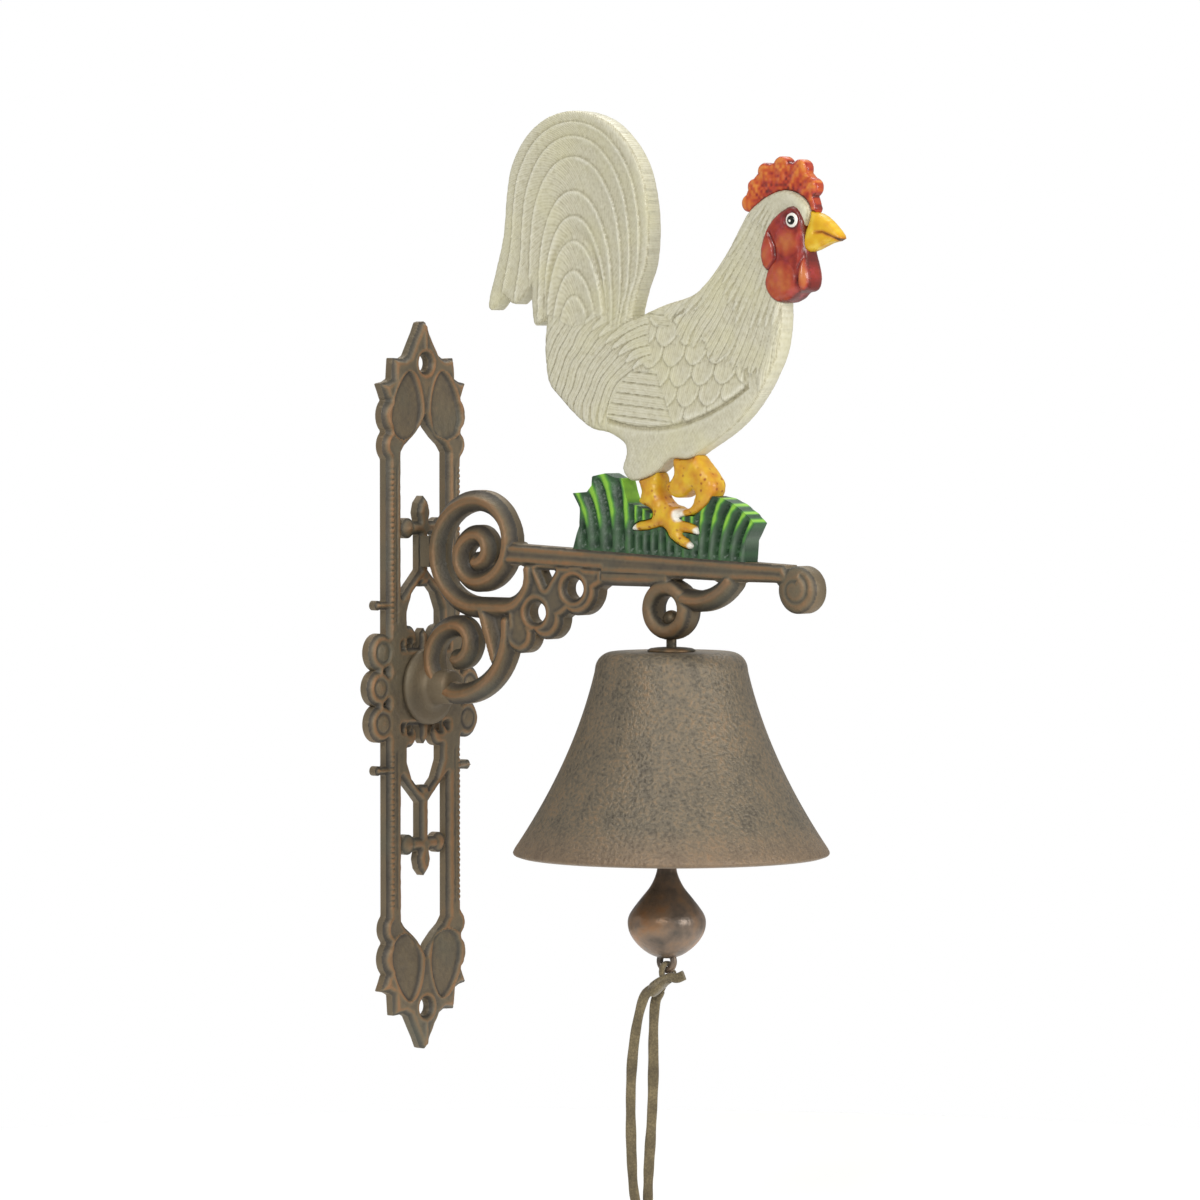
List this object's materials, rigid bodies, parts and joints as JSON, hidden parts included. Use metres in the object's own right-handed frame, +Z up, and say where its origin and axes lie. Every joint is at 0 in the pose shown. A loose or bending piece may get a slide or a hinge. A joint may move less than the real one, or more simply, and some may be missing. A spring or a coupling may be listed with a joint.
{
  "type": "wall mounted bell",
  "caption": "Cast-iron wall bell: an openwork back plate with a scrolled arm that carries a painted rooster and a swinging bell, rung by a clapper with a leather pull.",
  "frame": {"origin": "centre of the back face of the wall plate, on the wall", "axes": "+X out of the wall along the arm, +Y across the plate, +Z up"},
  "size_m": [0.2394, 0.139, 0.5033],
  "materials": {
    "cast_iron": "antique brown patina, satin",
    "bell_iron": "pitted casting under a brown patina, satin",
    "cream_paint": "cream enamel with a grey wash in the grooves, satin",
    "red_paint": "orange-red enamel, satin",
    "yellow_paint": "yellow enamel, satin",
    "eye_paint": "white enamel with a black pupil, gloss",
    "green_paint": "dark green enamel with bright green tips, satin",
    "dark_steel": "darkened steel wire",
    "suede": "olive-brown split leather, matte"
  },
  "bodies": {
    "frame": {"wall_plate": "cast_iron", "bracket": "cast_iron", "bracket_screw": "dark_steel", "rooster_body": "cream_paint", "rooster_comb": "red_paint", "rooster_face": "red_paint", "rooster_beak": "yellow_paint", "rooster_eyes": "eye_paint", "rooster_legs": "yellow_paint", "grass_tuft": "green_paint"},
    "hanger": {"hanger_rod": "dark_steel", "inner_washer": "dark_steel", "crown_nut": "dark_steel"},
    "bell": {"bell_shell": "bell_iron", "crown_washer": "bell_iron"},
    "link": {"clapper_link": "dark_steel"},
    "clapper": {"clapper_weight": "cast_iron"},
    "strap": {"strap_hitch": "suede", "strap_left": "suede", "strap_right": "suede", "strap_knot": "suede"}
  },
  "joints": [
    {"name": "bell_swing", "type": "hinge", "parent": "frame", "child": "hanger", "pos_m": [0.146, 0, 0.0338], "axis": [0, 1, 0], "range_deg": [-8, 8]},
    {"name": "bell_turn", "type": "hinge", "parent": "hanger", "child": "bell", "pos_m": [0.146, 0, 0.0195], "axis": [0, 0, 1], "continuous": true},
    {"name": "link_swing", "type": "hinge", "parent": "hanger", "child": "link", "pos_m": [0.1435, 0, 0.001], "axis": [0, 1, 0], "range_deg": [-29, 29]},
    {"name": "clapper_sway", "type": "hinge", "parent": "link", "child": "clapper", "pos_m": [0.1435, 0, -0.0138], "axis": [1, 0, 0], "range_deg": [-9, 9]},
    {"name": "strap_swing", "type": "hinge", "parent": "clapper", "child": "strap", "pos_m": [0.1435, 0, -0.1206], "axis": [1, 0, 0], "range_deg": [-40, 40]}
  ]
}
